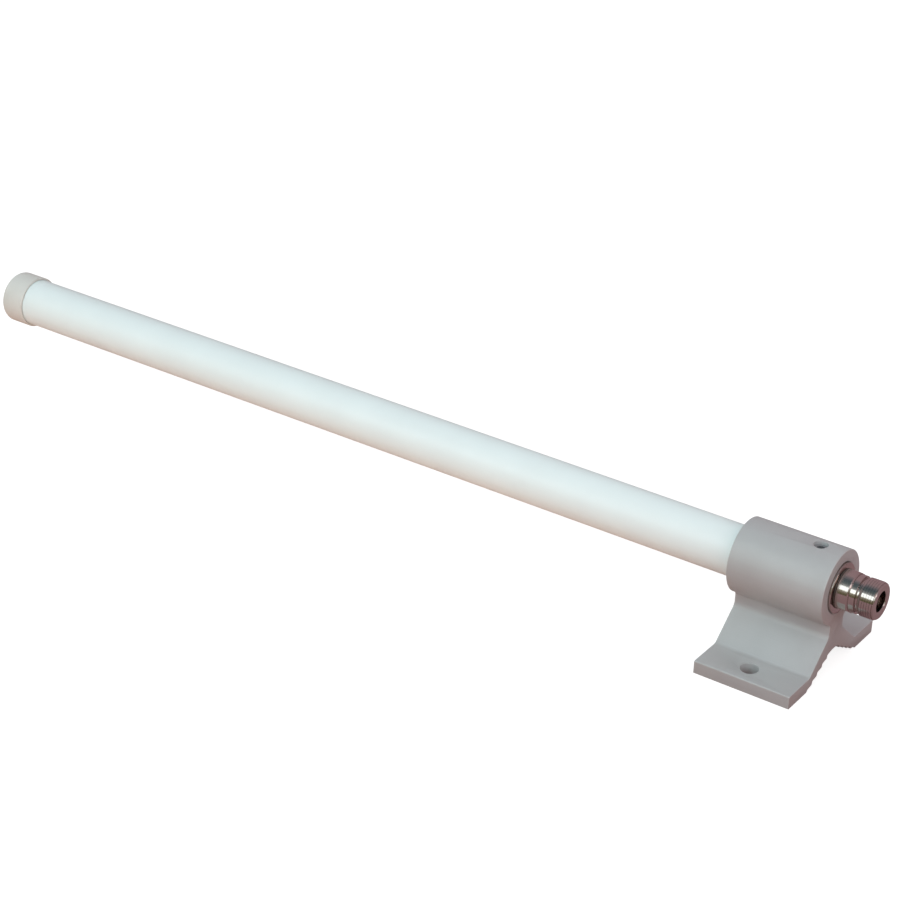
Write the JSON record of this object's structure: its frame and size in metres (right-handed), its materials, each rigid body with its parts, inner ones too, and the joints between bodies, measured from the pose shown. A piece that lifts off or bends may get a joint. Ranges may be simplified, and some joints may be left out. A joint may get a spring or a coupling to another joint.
{
  "type": "omnidirectional antenna",
  "caption": "Slim stick antenna in a white tube, with a threaded coaxial jack at its base, held by a set screw in a collar bracket with legs, flanges and a serrated vee for a mast.",
  "frame": {"origin": "midway between the two bolt holes, on the underside of the flanges, which is the mast face", "axes": "+X along the antenna from its cap to its jack, +Y along the line of the two bolt holes, +Z out of the mast face towards the collar"},
  "size_m": [0.4625, 0.0722, 0.0543],
  "materials": {
    "cast_aluminium": "matt blasted mid grey",
    "screw_steel": "plain zinc plate",
    "fibreglass": "white gelcoat over glass fibre, half gloss",
    "cap_plastic": "moulded off-white",
    "seal_rubber": "matt black",
    "plug_aluminium": "turned",
    "nickel_plate": "bright nickel plate",
    "contact_metal": "bright brass",
    "silver_plate": "bright silver plate",
    "ptfe": "waxy white",
    "copper": "bright copper",
    "board_laminate": "green glass-epoxy laminate",
    "solder": "bright solder",
    "foam": "closed-cell foam"
  },
  "bodies": {
    "bracket": {"mounting_bracket": "cast_aluminium"},
    "screw": {"set_screw": "screw_steel"},
    "stick": {"radome_tube": "fibreglass", "end_cap": "cap_plastic", "cap_seal": "seal_rubber", "base_plug": "plug_aluminium", "plug_seal": "seal_rubber", "connector_body": "nickel_plate", "connector_washer": "nickel_plate", "connector_gasket": "seal_rubber", "lock_washer": "screw_steel", "lock_nut": "nickel_plate", "centre_contact": "silver_plate", "front_bead": "ptfe", "rear_bead": "ptfe", "feed_ferrule": "contact_metal", "coax_outer": "copper", "coax_dielectric": "ptfe", "coax_inner": "copper", "choke_sleeve": "contact_metal", "array_board": "board_laminate", "front_dipoles": "copper", "rear_dipoles": "copper", "ground_strap": "copper", "feed_solder": "solder", "board_holder": "cap_plastic", "spacer_lower": "foam", "spacer_middle": "foam", "spacer_upper": "foam", "top_cushion": "foam"}
  },
  "joints": [
    {"name": "stick_slide", "type": "slide", "parent": "bracket", "child": "stick", "axis": [1, 0, 0], "range_m": [-0.062, 0]},
    {"name": "screw_travel", "type": "slide", "parent": "bracket", "child": "screw", "axis": [0, 0, 1], "range_m": [0, 0.0045]}
  ]
}
